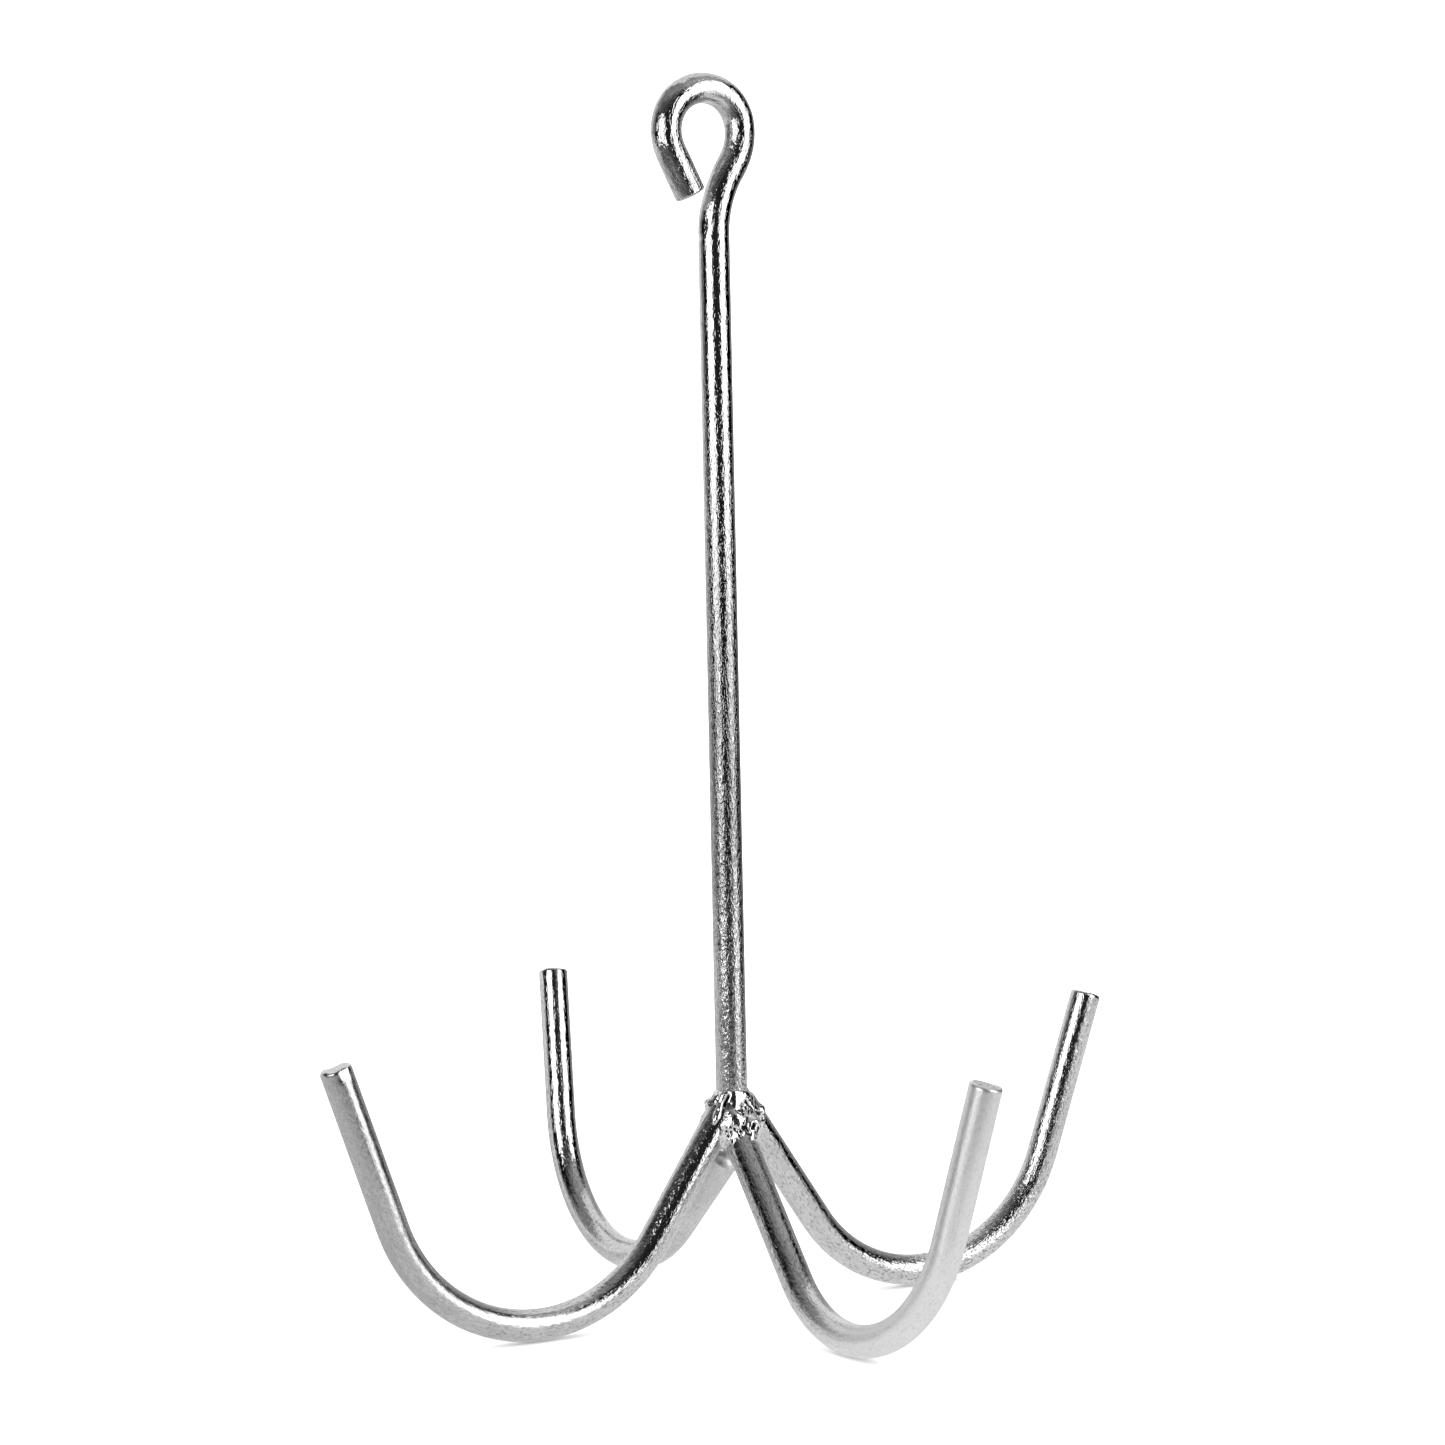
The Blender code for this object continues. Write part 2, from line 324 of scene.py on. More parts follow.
SECTORS = {
    "weld_back_right": ("prong_right", "prong_back"),
    "weld_back_left": ("prong_back", "prong_left"),
    "weld_front_left": ("prong_left", "prong_front"),
    "weld_front_right": ("prong_front", "prong_right"),
}


def smooth_union(a, b, blend):
    share = np.clip(0.5 + 0.5 * (b - a) / blend, 0.0, 1.0)
    return b + (a - b) * share - blend * share * (1.0 - share)


def ball(points, turn, rise, reach, radius):
    """Distance from a ball that lies at this turn, rise and reach from the weld's middle, in millimetres."""
    at = around(turn, rise) * reach * MM + np.array([0.0, 0.0, WELD_CENTRE_Z])
    return np.linalg.norm(points - at, axis=-1) - radius * MM


def rod(points, start, toward, radius):
    """Distance from a round bar that begins at start and never ends."""
    offset = points - start
    run = np.maximum(offset @ toward, 0.0)
    return np.linalg.norm(offset - run[..., None] * toward, axis=-1) - radius


def around(turn_deg, rise_deg):
    """Unit vectors from the weld's middle."""
    turn, rise = np.radians(turn_deg), np.radians(rise_deg)
    return np.stack([np.cos(rise) * np.cos(turn), np.cos(rise) * np.sin(turn), np.sin(rise)], axis=-1)


def weld_rods():
    """Start and direction of the five bars at the hub."""
    up = np.array([0.0, 0.0, 1.0])
    rods = [(up * SHANK_FOOT_Z, up)]
    for prong in PRONGS.values():
        down = math.radians(prong["slope"])
        toward = prong_frame(prong).to_3x3() @ Vector((math.cos(down), 0.0, -math.sin(down)))
        rods.append((up * hub_height(prong), np.array(toward)))
    return rods


def weld_zone(points):
    """Distance-like field of the space that the weld metal reached, with an uneven edge."""
    zone = ball(points, *WELD_ZONES[0])
    for spot in WELD_ZONES[1:]:
        zone = smooth_union(zone, ball(points, *spot), ZONE_BLEND)
    return zone + EDGE_WOBBLE * WELD_WOBBLE(points)


def weld_field(points, rods):
    """Distance-like field of the weld metal, negative inside. Points are from the hub's axis, in metres."""
    zone = weld_zone(points)
    thin, thick = WELD_COAT
    coat = thin + (thick - thin) * smoothstep(0.0, WELD_TOE, -zone)
    field = None
    for start, toward in rods:
        one = rod(points, start, toward, BAR_RADIUS) - coat
        field = one if field is None else smooth_union(field, one, BAR_BLEND)
    for spot in WELD_LUMPS:
        field = smooth_union(field, ball(points, *spot), LUMP_BLEND)
    return -smooth_union(-field, -zone, EDGE_BLEND)


def stroke_distance(outward, path, width):
    """Distance over the weld from a path of turns and rises in degrees, in half widths."""
    spots = around(*np.array(path, float).T)
    nearest = np.full(outward.shape[:-1], np.inf)
    for start, end in zip(spots, spots[1:] if len(spots) > 1 else spots):
        step = end - start
        along = np.clip(((outward - start) @ step) / max(step @ step, 1e-12), 0.0, 1.0)
        nearest = np.minimum(nearest, np.linalg.norm(outward - start - along[..., None] * step, axis=-1))
    return nearest * STROKE_REACH / (width * MM / 2.0)


def weld_relief(points, outward):
    """How far the frozen metal stands out, and how dark it is painted in its creases, grooves and pits
    (painted shade, with some soot): flowing lumps with creases, then strokes.
    """
    calm = np.exp(-stroke_distance(outward, CALM_SPOT, CALM_WIDTH) ** 4)
    lumps = np.abs(Waves(71, 3.6 * MM)(points))
    ripples = np.abs(Waves(73, 1.6 * MM)(points + 0.2 * MM * Waves(74, 2.0 * MM)(points)[..., None]))
    relief = LUMP_HEIGHT * (np.minimum(lumps, 1.2) - 0.4) * (1.0 - 0.85 * calm)
    relief = relief + RIPPLE_HEIGHT * (np.minimum(ripples, 1.2) - 0.4) * (1.0 - 0.8 * calm)
    # the creases between the lumps painted dark: painted shade, with some soot
    soot_and_crease_shade = 0.4 * (1.0 - smoothstep(0.0, 0.10, lumps)) * (1.0 - calm)
    for path, width, height, edge in WELD_STROKES + scattered_strokes(79):
        share = np.exp(-(stroke_distance(outward, path, width) ** edge))
        relief = relief + height * MM * share
        # grooves and pits painted dark: painted shade, with some soot
        if height < 0.0:
            soot_and_crease_shade = np.maximum(soot_and_crease_shade, smoothstep(0.25, 0.75, share))
    return relief, soot_and_crease_shade


def scattered_strokes(seed):
    """Lumps, curved creases, pits and spatter on the sides that have no strokes of their own."""
    rng = np.random.default_rng(seed)
    strokes = []
    for _ in range(26):
        spot = (rng.uniform(330.0, 540.0), rng.uniform(-45.0, 48.0))
        strokes.append(((spot,), rng.uniform(1.2, 2.8), rng.uniform(0.15, 0.45), 3.0))
    for _ in range(16):
        turn, rise, heading = rng.uniform(335.0, 535.0), rng.uniform(-40.0, 48.0), rng.uniform(0.0, 360.0)
        path = [(turn, rise)]
        for _ in range(3):
            heading += rng.uniform(-45.0, 45.0)
            turn += 9.0 * math.cos(math.radians(heading))
            rise += 7.0 * math.sin(math.radians(heading))
            path.append((turn, rise))
        strokes.append((tuple(path), rng.uniform(0.25, 0.5), rng.uniform(-0.4, -0.2), 2.0))
    for _ in range(14):
        spot = (rng.uniform(330.0, 540.0), rng.uniform(-40.0, 45.0))
        strokes.append(((spot,), rng.uniform(0.35, 0.65), rng.uniform(-0.5, -0.3), 3.0))
    for _ in range(5):
        spot = (rng.uniform(335.0, 535.0), rng.uniform(-10.0, 40.0))
        strokes.append(((spot,), rng.uniform(0.9, 1.2), 0.55, 5.0))
    return tuple(strokes)


def weld_reach(centre, outward):
    """Distance from the middle to the metal's outermost surface in each direction."""
    nearest, farthest, step = WELD_SEARCH
    distances = np.arange(nearest, farthest, step) * MM
    rods = weld_rods()
    fields = np.stack([weld_field(centre + outward * distance, rods) for distance in distances])
    last = len(distances) - 1 - np.argmax(fields[::-1] < 0.0, axis=0)
    last = np.minimum(last, len(distances) - 2)
    inside = np.take_along_axis(fields, last[None], axis=0)[0]
    outside = np.take_along_axis(fields, last[None] + 1, axis=0)[0]
    return distances[last] + step * MM * np.clip(inside / (inside - outside), 0.0, 1.0)


def weld_surface():
    """Points of the whole cluster, by rise and turn, their painted crease shade and soot, and the middle
    that they are seen from.
    """
    rises = np.linspace(-88.0, 88.0, WELD_RISES)
    turns = np.arange(WELD_TURNS) * 360.0 / WELD_TURNS
    rise, turn = np.meshgrid(rises, turns, indexing="ij")
    outward = around(turn, rise)
    centre = np.array([0.0, 0.0, WELD_CENTRE_Z])
    reach = weld_reach(centre, outward)
    points = centre + outward * reach[..., None]
    relief, soot_and_crease_shade = weld_relief(points, outward)
    held = smoothstep(0.2 * MM, 0.8 * MM, 0.5 * MM - weld_zone(points))  # no relief at the edge
    reach = reach + relief * held
    return centre + outward * reach[..., None], soot_and_crease_shade, centre


def surface_normals(points):
    """Unit normals of the closed surface, so that the pieces shade as one where they meet."""
    along_turn = np.roll(points, -1, axis=1) - np.roll(points, 1, axis=1)
    along_rise = np.gradient(points, axis=0)
    normals = np.cross(along_turn, along_rise)
    return normals / np.linalg.norm(normals, axis=-1, keepdims=True)


def make_weld(name, surface, normals, soot_and_crease_shade, centre, first, last):
    """One of the four beads: the surface between two prongs, closed through the hub's middle."""
    columns = np.arange(first, last + 1) % WELD_TURNS
    patch, rows, width = surface[:, columns], len(surface), len(columns)
    poles = [surface[0].mean(axis=0), surface[-1].mean(axis=0), centre]
    points = np.concatenate([patch.reshape(-1, 3), poles])
    grid = np.arange(rows * width).reshape(rows, width)
    bottom, top, middle = rows * width, rows * width + 1, rows * width + 2
    corners = [grid[:-1, :-1], grid[:-1, 1:], grid[1:, 1:], grid[1:, :-1]]
    faces = np.stack(corners, axis=2).reshape(-1, 4).tolist()
    for column in range(width - 1):
        faces.append([bottom, int(grid[0, column + 1]), int(grid[0, column])])
        faces.append([top, int(grid[-1, column]), int(grid[-1, column + 1])])
    for column, sign in ((0, 1), (width - 1, -1)):
        edge = [bottom] + grid[:, column].tolist() + [top]
        for low, high in zip(edge, edge[1:]):
            faces.append([middle, low, high][:: -sign])
    made = new_object(name, points, faces)
    shading = np.concatenate([normals[:, columns].reshape(-1, 3), [(0, 0, -1), (0, 0, 1), (0, 0, 1)]])
    made.data.normals_split_custom_set_from_vertices(shading.tolist())
    store(made, "bar_space", points)
    # the painted shade of the creases and pits, with some soot, kept for the material
    store(made, "soot_and_crease_shade", np.concatenate([soot_and_crease_shade[:, columns].ravel(), np.zeros(3)]))
    made.data.transform(Matrix.Translation(HUB))
    return made


# turn, rise and reach from the weld's middle, and radius: extra blobs of metal
WELD_LUMPS = (
    (232.0, 8.0, 2.4, 2.8),
    (250.0, -28.0, 3.4, 2.7),
    (205.0, 20.0, 2.0, 2.2),
    (286.0, -18.0, 4.2, 2.5),
    (315.0, 8.0, 2.4, 2.6),
    (45.0, 5.0, 2.4, 2.9),
    (135.0, 0.0, 2.2, 2.7),
    (20.0, -30.0, 3.4, 2.3),
    (110.0, -25.0, 3.4, 2.4),
    (165.0, -5.0, 2.6, 2.2),
)
# the same for the balls that make up the space that the metal reached
WELD_ZONES = (
    (0.0, 90.0, 1.0, 5.5),
    (0.0, -90.0, 1.6, 5.8),
    (258.0, -42.0, 3.6, 4.4),
    (286.0, -20.0, 3.2, 4.2),
    (30.0, -25.0, 2.2, 4.8),
    (120.0, -25.0, 2.2, 4.8),
)

# path of turns and rises in degrees, width and height in millimetres, and how sharp its edge is
WELD_STROKES = (
    (((211.0, 56.0), (207.0, 38.0), (208.0, 17.0), (207.0, -6.0)), 1.3, 0.35, 4.0),  # ridge on the left
    # the ridge's crease
    (((228.0, 52.0), (218.0, 38.0), (218.0, 19.0), (216.0, 3.0), (210.0, -7.0)), 0.62, -0.55, 2.0),
    (((199.0, 44.0), (196.0, 20.0)), 0.35, -0.3, 2.0),
    (((190.0, 4.0), (192.0, -2.0)), 0.5, -0.4, 2.0),
    (((226.0, 17.0),), 0.8, 0.3, 4.0),
    (((226.0, 4.0),), 0.7, 0.3, 4.0),
    (((246.0, 4.0),), 3.6, 0.45, 3.0),  # bright puddle
    (((256.0, 38.0),), 2.2, 0.2, 3.0),
    (((246.0, 22.0), (252.0, 16.0), (259.0, 13.0)), 0.24, -0.35, 2.0),
    (((269.0, 22.0),), 0.75, -0.7, 3.0),
    (((284.0, 27.0),), 0.75, -0.7, 3.0),
    (((286.0, 42.0), (298.0, 28.0), (302.0, 20.0)), 0.6, -0.45, 2.0),
    (((312.0, 15.0), (311.0, 4.0)), 0.4, -0.4, 2.0),
    (((285.0, -15.0),), 3.4, 0.5, 5.0),  # crater lobe
    (((279.0, -7.0), (275.0, -14.0)), 0.55, -0.4, 2.0),
    (((288.0, -14.0), (287.0, -24.0)), 0.5, -0.3, 2.0),
    (((272.0, 5.0), (267.0, -4.0), (265.0, -12.0), (268.0, -19.0)), 0.32, -0.4, 2.0),
    (((261.0, -15.0),), 0.85, -0.5, 3.0),
    (((254.0, -19.0),), 0.5, -0.4, 3.0),
    (((232.0, -15.0),), 0.9, 0.3, 3.0),
    (((226.0, -22.0),), 0.45, -0.4, 3.0),
    (((236.0, -22.0),), 0.4, -0.35, 3.0),
    (((243.0, -16.0),), 0.5, -0.4, 3.0),
    (((238.0, -31.0),), 1.1, 0.35, 3.0),
    (((246.0, -24.0),), 1.1, 0.3, 3.0),
    (((230.0, -30.0),), 0.45, -0.35, 3.0),
    (((246.0, -29.0), (249.0, -37.0), (248.0, -48.0)), 0.42, -0.6, 2.0),
    (((239.0, -41.0),), 1.2, 0.35, 4.0),
    (((256.0, -33.0),), 1.0, 0.35, 4.0),
    (((183.0, 3.0),), 0.9, 0.3, 4.0),  # spatter
    (((320.0, 6.0),), 1.3, 0.8, 5.0),
    (((318.0, 7.0),), 0.45, -0.4, 3.0),
    (((245.0, 69.0),), 0.5, -0.2, 3.0),
)
WELD_WOBBLE = Waves(77, 4.0 * MM)


# ---------------------------------------------------------------- materials


# places of the Mix node's colour sockets, whose names repeat
MIX_COLOUR_A, MIX_COLOUR_B, MIX_RESULT = 6, 7, 2


class Graph:
    """Short forms for building a metal's node tree."""

    def __init__(self, name):
        self.material = bpy.data.materials.new(name)
        self.material.use_nodes = True
        self.nodes = self.material.node_tree.nodes
        self.links = self.material.node_tree.links
        self.shader = self.nodes["Principled BSDF"]

    def set(self, socket, value):
        if isinstance(value, bpy.types.NodeSocket):
            self.links.new(value, socket)
        else:
            socket.default_value = value

    def attribute(self, name, output):
        node = self.nodes.new("ShaderNodeAttribute")
        node.attribute_type = "GEOMETRY"
        node.attribute_name = name
        return node.outputs[output]

    def scaled(self, vector, scale):
        node = self.nodes.new("ShaderNodeVectorMath")
        node.operation = "MULTIPLY"
        self.set(node.inputs[0], vector)
        node.inputs[1].default_value = scale
        return node.outputs[0]

    def noise(self, space, cell, detail, roughness):
        """Noise with cells of these sizes in millimetres."""
        node = self.nodes.new("ShaderNodeTexNoise")
        scale = tuple(1.0 / (size * MM) for size in cell)
        self.set(node.inputs["Vector"], self.scaled(space, scale))
        node.inputs["Scale"].default_value = 1.0
        node.inputs["Detail"].default_value = detail
        node.inputs["Roughness"].default_value = roughness
        return node.outputs["Fac"]

    def spread(self, value, low, high, to_low, to_high):
        node = self.nodes.new("ShaderNodeMapRange")
        node.interpolation_type = "SMOOTHSTEP"
        self.set(node.inputs["Value"], value)
        for key, number in (("From Min", low), ("From Max", high), ("To Min", to_low), ("To Max", to_high)):
            node.inputs[key].default_value = number
        return node.outputs["Result"]

    def maths(self, operation, *values):
        node = self.nodes.new("ShaderNodeMath")
        node.operation = operation
        for socket, value in zip(node.inputs, values):
            self.set(socket, value)
        return node.outputs[0]

    def mixed(self, share, a, b):
        """A grey between a and b."""
        node = self.nodes.new("ShaderNodeMix")
        node.data_type = "RGBA"
        self.set(node.inputs["Factor"], share)
        node.inputs[MIX_COLOUR_A].default_value = (a, a, a, 1.0)
        node.inputs[MIX_COLOUR_B].default_value = (b, b, b, 1.0)
        return node.outputs[MIX_RESULT]

    def bump(self, height, depth, strength=1.0, before=None):
        node = self.nodes.new("ShaderNodeBump")
        self.set(node.inputs["Strength"], strength)
        node.inputs["Distance"].default_value = depth
        self.set(node.inputs["Height"], height)
        if before is not None:
            self.set(node.inputs["Normal"], before)
        return node.outputs["Normal"]


PLATE_BRIGHT, PLATE_DULL = 0.92, 0.28
PLATE_MATTE = 0.42  # roughness where the plate is fully matte
LINE_DEPTH = 0.006 * MM
# the weld's own colour, and the near-black painted into its creases and pits: painted shade, with some soot
METAL_CLEAN_UNSHADED, METAL_SOOT_AND_SHADE = 0.95, 0.02
METAL_RIPPLE = 0.06 * MM
# cell sizes round, round and along the bar, or across the weld, in millimetres
FLECKS, SPECKS, DRAW_LINES, CLOUDS = (0.5, 0.5, 1.4), (0.33, 0.33, 0.75), (0.3, 0.3, 26.0), (3.0, 3.0, 11.0)
WELD_RIPPLES, WELD_CLOUDS = (0.7, 0.7, 0.7), (1.8, 1.8, 1.8)


def plate(name, polished, fleck_depth, speck_depth):
    """Zinc plate over drawn bar: raised flecks, dark pits, draw lines, a cloudy tone and a patchy shine."""
    graph = Graph(name)
    space = graph.attribute("bar_space", "Vector")
    grain = graph.attribute("grain", "Fac")
    shade = graph.attribute("shade", "Fac")
    matte = graph.attribute("matte", "Fac")
    flecks = graph.noise(space, FLECKS, 2.0, 0.6)
    specks = graph.noise(space, SPECKS, 2.0, 0.5)
    lines = graph.noise(space, DRAW_LINES, 2.0, 0.5)
    cloud = graph.noise(space, CLOUDS, 3.0, 0.6)

    tone = graph.maths("MULTIPLY_ADD", flecks, 0.5, graph.maths("MULTIPLY", cloud, 0.5))
    pitted = graph.maths("MULTIPLY", grain, graph.spread(specks, 0.35, 0.47, 0.55, 0.0))
    faded = graph.maths("MULTIPLY_ADD", shade, graph.spread(tone, 0.4, 0.6, 1.0, 0.6), pitted)
    graph.set(graph.shader.inputs["Base Color"], graph.mixed(faded, PLATE_BRIGHT, PLATE_DULL))
    shine = graph.maths("MULTIPLY_ADD", matte, PLATE_MATTE - polished, polished)
    patchy = graph.spread(tone, 0.35, 0.65, -0.02, 0.05)
    graph.set(graph.shader.inputs["Roughness"], graph.maths("ADD", shine, patchy))

    raised = graph.spread(flecks, 0.38, 0.62, 0.0, 1.0)
    relief = graph.bump(raised, fleck_depth, grain)
    relief = graph.bump(specks, speck_depth, grain, relief)
    relief = graph.bump(lines, LINE_DEPTH, 1.0, relief)
    graph.set(graph.shader.inputs["Normal"], relief)
    graph.shader.inputs["Metallic"].default_value = 1.0
    return graph.material


def frozen_metal(name):
    """Plated weld metal: glossy, rippled lumps, dull in the creases and painted dark there: painted shade,
    with some soot.
    """
    graph = Graph(name)
    space = graph.attribute("bar_space", "Vector")
    ripple = graph.noise(space, WELD_RIPPLES, 3.0, 0.55)
    cloud = graph.noise(space, WELD_CLOUDS, 2.0, 0.5)
    soot_and_crease_shade = graph.attribute("soot_and_crease_shade", "Fac")
    cloudy = graph.spread(cloud, 0.35, 0.6, 0.82, 1.0)
    # darkens the base colour in the creases and pits: painted shade, with some soot
    unshaded_clean = graph.maths("MULTIPLY", cloudy, graph.spread(soot_and_crease_shade, 0.1, 0.8, 1.0, 0.0))
    graph.set(graph.shader.inputs["Base Color"], graph.mixed(unshaded_clean, METAL_SOOT_AND_SHADE, METAL_CLEAN_UNSHADED))
    rough = graph.maths("MULTIPLY_ADD", soot_and_crease_shade, 0.3, graph.spread(ripple, 0.35, 0.65, 0.08, 0.18))
    graph.set(graph.shader.inputs["Roughness"], rough)
    graph.set(graph.shader.inputs["Normal"], graph.bump(ripple, METAL_RIPPLE))
    graph.shader.inputs["Metallic"].default_value = 1.0
    return graph.material


# ---------------------------------------------------------------- studio


# Only reflections see the tent and the table. Azimuths are from the camera's side, positive to its right:
# left, right, low and high edge of each panel in degrees, how soft its edges are, and its radiance.
TENT_PANELS = (
    (118.0, 165.0, -25.0, 40.0, 6.0, 0.36),  # grey far right
    (-122.0, 124.0, 45.0, 95.0, 5.0, 0.27),  # ceiling
    (-132.0, -100.0, 46.0, 76.0, 6.0, 0.18),  # its far left
    (-80.0, 118.0, -40.0, 57.0, 5.0, 0.09),  # dark front, behind and beside the camera
    (-16.0, 38.0, -16.0, 46.0, 4.0, 0.02),  # its darkest part
    (34.0, 112.0, 47.0, 75.0, 5.0, 0.44),  # brighter ceiling on the right
    (-118.0, -80.0, 2.0, 70.0, 6.0, 0.24),  # grey far left
    (-92.0, -13.0, -18.0, 38.0, 3.0, 0.005),  # black cloth round the light on the left
    (34.0, 128.0, -18.0, 48.0, 3.0, 0.0),  # black cloth round the light on the right
    (-58.0, -19.0, -10.0, 31.0, 2.0, 2.5),  # light on the left
    (41.0, 80.0, -8.0, 30.0, 1.5, 2.5),  # light on the right
    (54.0, 84.0, 20.0, 45.0, 2.5, 2.5),  # its upper part
)
TENT_WALL = 0.85
TABLE_PALE = (0.68, 0.95)  # left and right of the hook
TABLE_DARK = (0.22, 0.09)  # nearer and farther
TABLE_GREY, TABLE_GLARE = 0.34, 1.5


def band(low, high, soft, value):
    """1 between two edges, falling softly to 0 outside them."""
    return smoothstep(low - soft, low + soft, value) * (1.0 - smoothstep(high - soft, high + soft, value))


def tent_radiance(azimuth, elevation):
    """Light from the tent's wall in each direction from its middle, in degrees."""
    light = np.full(azimuth.shape, TENT_WALL)
    for left, right, low, high, soft, radiance in TENT_PANELS:
        light += (radiance - light) * band(left, right, soft, azimuth) * band(low, high, soft, elevation)
    return light


def table_radiance(right, near):
    """Light from the table: pale round the hook and dark further out on the camera's side, with the glare of
    the light on the right, and grey and black under the cloth beside it."""
    away = np.hypot(right, near)
    azimuth = np.degrees(np.arctan2(right, near))
    pale = TABLE_PALE[0] + (TABLE_PALE[1] - TABLE_PALE[0]) * smoothstep(-80.0 * MM, 20.0 * MM, right)
    dark = TABLE_DARK[0] + (TABLE_DARK[1] - TABLE_DARK[0]) * smoothstep(300.0 * MM, 420.0 * MM, away)
    front = 1.0 - smoothstep(62.0, 84.0, np.abs(azimuth))
    light = pale + (dark - pale) * front * smoothstep(145.0 * MM, 245.0 * MM, away)
    beside = smoothstep(290.0 * MM, 380.0 * MM, away)
    light = light + (TABLE_GREY - light) * beside * band(118.0, 165.0, 6.0, azimuth)
    glare = smoothstep(290.0 * MM, 350.0 * MM, away) * band(44.0, 79.0, 4.0, azimuth)
    light = light + (TABLE_GLARE - light) * glare
    return light * (1.0 - beside * band(80.0, 126.0, 4.0, azimuth))


def glow(name, points, faces, radiance):
    """A surface that only the metal's reflections see, with its light kept at each point."""
    made = new_object(name, points, faces)
    store(made, "radiance", radiance)
    material = bpy.data.materials.new(name)
    material.use_nodes = True
    nodes, links = material.node_tree.nodes, material.node_tree.links
    nodes.remove(nodes["Principled BSDF"])
    light = nodes.new("ShaderNodeEmission")
    stored = nodes.new("ShaderNodeAttribute")
    stored.attribute_name = "radiance"
    links.new(stored.outputs["Fac"], light.inputs["Strength"])
    links.new(light.outputs[0], nodes["Material Output"].inputs["Surface"])
    made.data.materials.append(material)
    made.visible_camera = False
    made.visible_diffuse = False
    made.visible_shadow = False
    return made


def toward_camera():
    """Turns something that faces -Y to face the camera's side."""
    return Matrix.Rotation(math.radians(VIEW_AZIMUTH_DEG), 4, "Z")


def make_tent():
    turns = np.linspace(0.0, 2.0 * math.pi, TENT_TURNS, endpoint=False)
    rises = np.linspace(-math.pi / 2.0, math.pi / 2.0, TENT_RISES + 1)[1:-1]
    rise, turn = np.meshgrid(rises, turns, indexing="ij")
    # turn 0 is towards the camera, and grows to its right
    points = np.stack([np.cos(rise) * np.sin(turn), -np.cos(rise) * np.cos(turn), np.sin(rise)], axis=2)
    azimuth = np.degrees(np.angle(np.exp(1j * turn)))
    radiance = tent_radiance(azimuth, np.degrees(rise)).ravel()
    faces = ring_grid(TENT_TURNS, len(rises))
    tent = glow("light_tent", points.reshape(-1, 3) * TENT_RADIUS, faces, radiance)
    tent.matrix_world = Matrix.Translation((0.0, 0.0, TENT_CENTRE_Z)) @ toward_camera()


def make_table():
    turns = np.linspace(0.0, 2.0 * math.pi, TENT_TURNS, endpoint=False)
    away, turn = np.meshgrid(np.linspace(2.0 * MM, TABLE_RADIUS, 90), turns, indexing="ij")
    right, near = away * np.sin(turn), away * np.cos(turn)
    points = np.stack([right, -near, np.full_like(right, TABLE_Z)], axis=2).reshape(-1, 3)
    faces = ring_grid(TENT_TURNS, len(away))
    table = glow("table_glow", points, faces, table_radiance(right, near).ravel())
    table.matrix_world = toward_camera()


def make_floor():
    turns = np.linspace(0.0, 2.0 * math.pi, 96, endpoint=False)
    points = np.stack([np.cos(turns), np.sin(turns), np.zeros_like(turns)], axis=1) * FLOOR_RADIUS
    floor = new_object("floor", points, [list(range(len(points)))])
    material = bpy.data.materials.new("floor")
    material.use_nodes = True
    shader = material.node_tree.nodes["Principled BSDF"]
    shader.inputs["Base Color"].default_value = (FLOOR_TONE, FLOOR_TONE, FLOOR_TONE, 1.0)
    shader.inputs["Roughness"].default_value = 0.9
    shader.inputs["Specular IOR Level"].default_value = 0.0
    floor.data.materials.append(material)
    floor.visible_glossy = False


def make_world():
    world = bpy.data.worlds.new("studio")
    world.use_nodes = True
    background = world.node_tree.nodes["Background"]
    background.inputs["Color"].default_value = (1.0, 1.0, 1.0, 1.0)
    background.inputs["Strength"].default_value = WORLD_STRENGTH
    world.cycles_visibility.glossy = False
    bpy.context.scene.world = world


def make_camera():
    data = bpy.data.cameras.new("camera")
    data.lens = VIEW_LENS
    data.sensor_width = VIEW_SENSOR
    data.clip_start = 0.01
    data.clip_end = 20.0
    camera = bpy.data.objects.new("camera", data)
    bpy.context.scene.collection.objects.link(camera)
    at = HUB + toward_camera() @ Vector((0.0, -VIEW_DISTANCE, VIEW_HEIGHT))
    turn = Matrix.Rotation(math.radians(VIEW_AZIMUTH_DEG + VIEW_TURN_DEG), 4, "Z")
    tilt = Matrix.Rotation(math.radians(90.0 + VIEW_TILT_DEG), 4, "X")
    roll = Matrix.Rotation(math.radians(-VIEW_ROLL_DEG), 4, "Z")
    camera.matrix_world = Matrix.Translation(at) @ turn @ tilt @ roll
    bpy.context.scene.camera = camera


# ---------------------------------------------------------------- the pieces


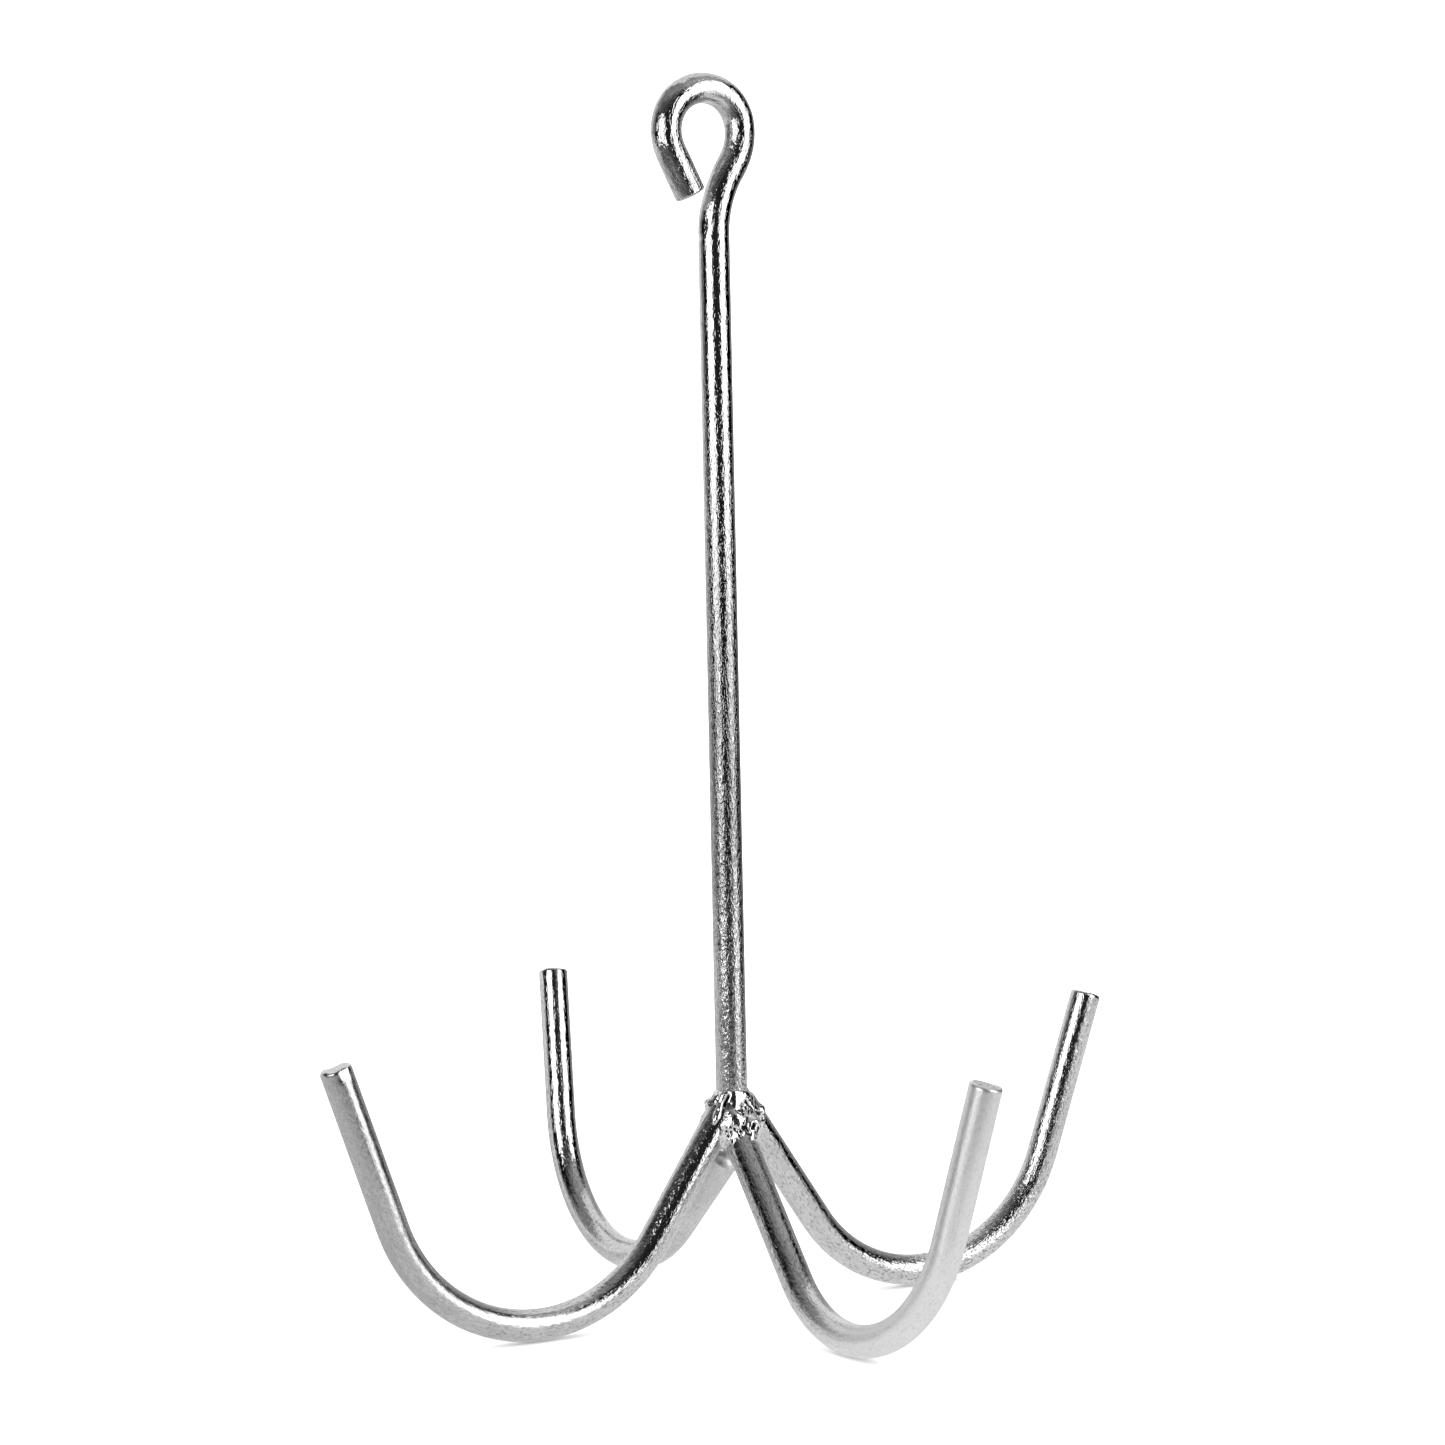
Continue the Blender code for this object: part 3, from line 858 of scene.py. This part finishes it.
# run in millimetres from the bar's hub end, then how grainy, how dark and how matte the plate is there
SHANK_FINISH = (
    (0, 0.6, 0.3, 0.0), (25, 0.8, 0.45, 0.0), (42, 1.1, 0.85, 0.0), (62, 1.1, 1.25, 0.0),
    (85, 1.1, 1.0, 0.0), (118, 0.9, 0.6, 0.0), (150, 0.5, 0.4, 0.0), (172, 0.45, 0.4, 0.0),
    (190, 0.9, 0.5, 0.0), (206, 0.5, 0.4, 0.0), (222, 0.8, 0.5, 0.0), (238, 1.0, 0.55, 0.03),
)
PRONG_FINISH = {
    "prong_right": ((0, 0.7, 0.4, 0.04), (40, 0.7, 0.4, 0.0), (64, 1.15, 0.4, 0.0), (84, 1.15, 0.35, 0.0),
                    (104, 0.8, 0.35, 0.0), (135, 0.6, 0.35, 0.0)),
    "prong_back": ((0, 0.4, 0.4, 0.9), (16, 0.4, 0.4, 0.75), (28, 0.5, 0.4, 0.3), (45, 0.5, 0.4, 0.04),
                   (80, 0.6, 0.35, 0.0), (135, 0.4, 0.35, 0.0)),
    "prong_left": ((0, 0.65, 0.45, 0.0), (38, 0.65, 0.45, 0.03), (58, 0.5, 0.4, 0.28), (85, 0.35, 0.45, 0.5),
                   (129, 0.35, 0.45, 0.5), (133, 0.3, 0.3, 0.02)),
    "prong_front": ((0, 0.8, 0.45, 0.0), (38, 0.8, 0.4, 0.02), (52, 0.4, 0.2, 0.5), (75, 0.3, 0.02, 0.85),
                    (135, 0.3, 0.0, 0.9)),
}
# dents and flats: run and length along the bar in metres, angle and width round it in degrees, depth, edge
EYE_MARKS = (
    dict(at=211.8 * MM, length=0.5 * MM, angle=205.0, width=40.0, depth=0.14 * MM, edge=4.0),
    dict(at=213.3 * MM, length=0.35 * MM, angle=190.0, width=30.0, depth=0.10 * MM, edge=3.0),
    dict(at=228.0 * MM, length=5.0 * MM, angle=215.0, width=13.0, depth=0.16 * MM, edge=4.0),
    dict(at=193.5 * MM, length=3.2 * MM, angle=28.0, width=16.0, depth=0.16 * MM, edge=4.0),
    dict(at=189.6 * MM, length=0.5 * MM, angle=-40.0, width=16.0, depth=0.10 * MM, edge=2.0),
    dict(at=181.5 * MM, length=3.4 * MM, angle=15.0, width=22.0, depth=0.20 * MM, edge=5.0),
    dict(at=174.2 * MM, length=1.1 * MM, angle=-25.0, width=15.0, depth=0.22 * MM, edge=2.0),
    dict(at=172.2 * MM, length=0.4 * MM, angle=20.0, width=22.0, depth=0.25 * MM, edge=4.0),
)
TIP_MARKS = {
    "prong_left": (
        dict(at=130.3 * MM, length=1.1 * MM, angle=86.0, width=20.0, depth=0.3 * MM, edge=3.0),
        dict(at=128.2 * MM, length=0.35 * MM, angle=70.0, width=12.0, depth=0.09 * MM, edge=2.0),
    ),
}
SATIN_PRONGS = ("prong_left", "prong_front")


def place(piece, node, material):
    piece.data.materials.append(material)
    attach(piece, "root")
    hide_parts(node)


def place_bars():
    bright = plate("bright_plate", 0.035, 0.035 * MM, 0.06 * MM)
    satin = plate("satin_plate", 0.05, 0.035 * MM, 0.05 * MM)
    place(make_shank(SHANK_FINISH, EYE_MARKS, 11), "shank_with_eye", bright)
    for index, (name, prong) in enumerate(PRONGS.items()):
        seed = 20 + 5 * index
        piece = make_prong(name + "_bar", prong, PRONG_FINISH[name], TIP_MARKS.get(name, ()), seed)
        if name in SATIN_PRONGS:
            place(piece, name, satin)
        else:
            place(piece, name, bright)


def place_welds():
    metal = frozen_metal("weld_metal")
    surface, soot_and_crease_shade, centre = weld_surface()
    normals = surface_normals(surface)
    for name, (start, end) in SECTORS.items():
        first, last = (int(PRONGS[prong]["azimuth"]) for prong in (start, end))
        last += WELD_TURNS if last < first else 0
        piece = make_weld(name + "_bead", surface, normals, soot_and_crease_shade, centre, first, last)
        place(piece, name, metal)


place_bars()
place_welds()
make_tent()
make_table()
make_floor()
make_world()
make_camera()
bpy.context.scene.view_settings.view_transform = "Standard"
